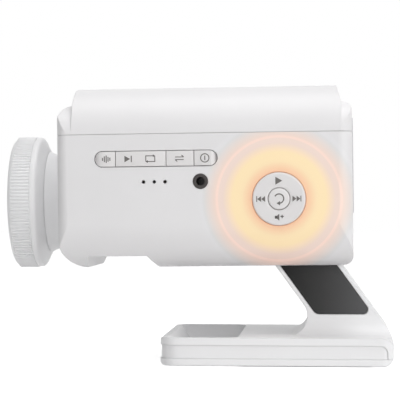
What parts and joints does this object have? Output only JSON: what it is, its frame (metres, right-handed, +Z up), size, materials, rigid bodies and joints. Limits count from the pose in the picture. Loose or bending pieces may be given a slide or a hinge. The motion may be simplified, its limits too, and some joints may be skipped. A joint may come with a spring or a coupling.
{
  "type": "planetarium projector",
  "caption": "Table-top star projector: a box-shaped head with focus ring, sound keys and round control pad, tilting on a slanted arm with a tray base.",
  "frame": {"origin": "on the table under the middle of the object's length and depth", "axes": "+Z up, +X from the lens towards the rear end, controls on the -Y side"},
  "size_m": [0.1666, 0.086, 0.1192],
  "materials": {
    "stand_white": "fine satin moulding",
    "shell_white": "fine satin moulding",
    "ring_white": "fine satin, ribbed rim",
    "key_white": "satin keys",
    "panel_grey": "satin",
    "inlay_dark": "polished dark inlay",
    "socket_dark": "moulded",
    "inner_black": "matt black",
    "inner_white": "natural acetal",
    "foot_rubber": "matt rubber",
    "mat_grey": "silicone",
    "steel": "plain",
    "washer_brass": "turned",
    "sink_aluminium": "extruded",
    "lens_glass": "coated glass",
    "slide_film": "photographic film",
    "board_green": "solder resist",
    "battery_wrap": "shrink wrap",
    "halo_amber": "frosted light guide"
  },
  "bodies": {
    "stand": {"stand_frame": "stand_white", "base_cover": "stand_white", "ballast_plate": "steel", "rear_foot_pad": "foot_rubber", "front_feet": "foot_rubber", "arm_panel_front": "inlay_dark", "arm_panel_back": "inlay_dark", "base_screws": "steel", "hinge_washers": "washer_brass"},
    "head": {"lower_housing": "shell_white", "top_cover": "shell_white", "rear_panel": "panel_grey", "housing_screws": "steel", "lens_barrel": "shell_white", "barrel_nut": "inner_black", "optics_chassis": "inner_black", "drive_motor": "steel", "lamp_tube": "inner_black", "condenser_lens": "lens_glass", "lamp_board": "board_green", "heat_sink": "sink_aluminium", "main_board": "board_green", "battery_pack": "battery_wrap", "speaker": "inner_black", "usb_socket": "steel", "keypad_mat": "mat_grey", "halo_diffuser": "halo_amber", "halo_board": "board_green", "audio_socket": "socket_dark", "microphone": "inner_black", "hinge_pin": "steel", "hinge_cheeks": "steel", "hinge_clip": "steel"},
    "focus_ring": {"focus_ring": "ring_white"},
    "lens_cell": {"lens_cell": "inner_black", "objective_lens": "lens_glass", "rear_lens": "lens_glass", "lens_retainer": "inner_black"},
    "slide_carrier": {"slide_carrier": "inner_white", "star_slide": "slide_film"},
    "motor_pinion": {"motor_pinion": "washer_brass"},
    "source_key": {"source_key": "key_white"},
    "track_rocker": {"track_rocker": "key_white"},
    "mode_key": {"mode_key": "key_white"},
    "power_key": {"power_key": "key_white"},
    "pad_gimbal": {"pad_gimbal": "steel"},
    "control_pad": {"control_pad": "key_white"},
    "play_button": {"play_button": "key_white"}
  },
  "joints": [
    {"name": "head_tilt", "type": "hinge", "parent": "stand", "child": "head", "pos_m": [0.04194, 0, 0.0492], "axis": [0, 1, 0], "range_deg": [-12, 50]},
    {"name": "focus_turn", "type": "hinge", "parent": "head", "child": "focus_ring", "pos_m": [-0.08302, 0, 0.06903], "axis": [0.9999, 0, 0.0126], "range_deg": [-62, 62]},
    {"name": "lens_slide", "type": "slide", "parent": "head", "child": "lens_cell", "axis": [0.9999, 0, 0.0126], "range_m": [-0.00147, 0.00147]},
    {"name": "source_key_press", "type": "slide", "parent": "head", "child": "source_key", "axis": [0, 1, 0], "range_m": [0, 0.0006], "stiffness_N_per_m": 2500},
    {"name": "track_rock", "type": "hinge", "parent": "head", "child": "track_rocker", "pos_m": [-0.02327, -0.0389, 0.08738], "axis": [-0.0126, 0, 0.9999], "range_deg": [-2, 2], "stiffness_Nm_per_rad": 0.28},
    {"name": "mode_key_press", "type": "slide", "parent": "head", "child": "mode_key", "axis": [0, 1, 0], "range_m": [0, 0.0006], "stiffness_N_per_m": 2500},
    {"name": "power_key_press", "type": "slide", "parent": "head", "child": "power_key", "axis": [0, 1, 0], "range_m": [0, 0.0006], "stiffness_N_per_m": 2500},
    {"name": "pad_left_right", "type": "hinge", "parent": "head", "child": "pad_gimbal", "pos_m": [0.03507, -0.0372, 0.07051], "axis": [-0.0126, 0, 0.9999], "range_deg": [-1.6, 1.6], "stiffness_Nm_per_rad": 0.4},
    {"name": "pad_up_down", "type": "hinge", "parent": "pad_gimbal", "child": "control_pad", "pos_m": [0.03507, -0.0372, 0.07051], "axis": [0.9999, 0, 0.0126], "range_deg": [-1.6, 1.6], "stiffness_Nm_per_rad": 0.4},
    {"name": "play_button_press", "type": "slide", "parent": "head", "child": "play_button", "axis": [0, 1, 0], "range_m": [0, 0.0005], "stiffness_N_per_m": 3000},
    {"name": "slide_drive", "type": "hinge", "parent": "head", "child": "slide_carrier", "pos_m": [-0.00902, 0, 0.06996], "axis": [0.9999, 0, 0.0126], "continuous": true},
    {"name": "pinion_spin", "type": "hinge", "parent": "head", "child": "motor_pinion", "pos_m": [-0.00937, 0, 0.09716], "axis": [0.9999, 0, 0.0126], "continuous": true}
  ],
  "couplings": [
    {"joint": "focus_turn", "follows": "lens_slide", "rad_per_m": -714.29},
    {"joint": "pinion_spin", "follows": "slide_drive", "ratio": -4.6667}
  ]
}
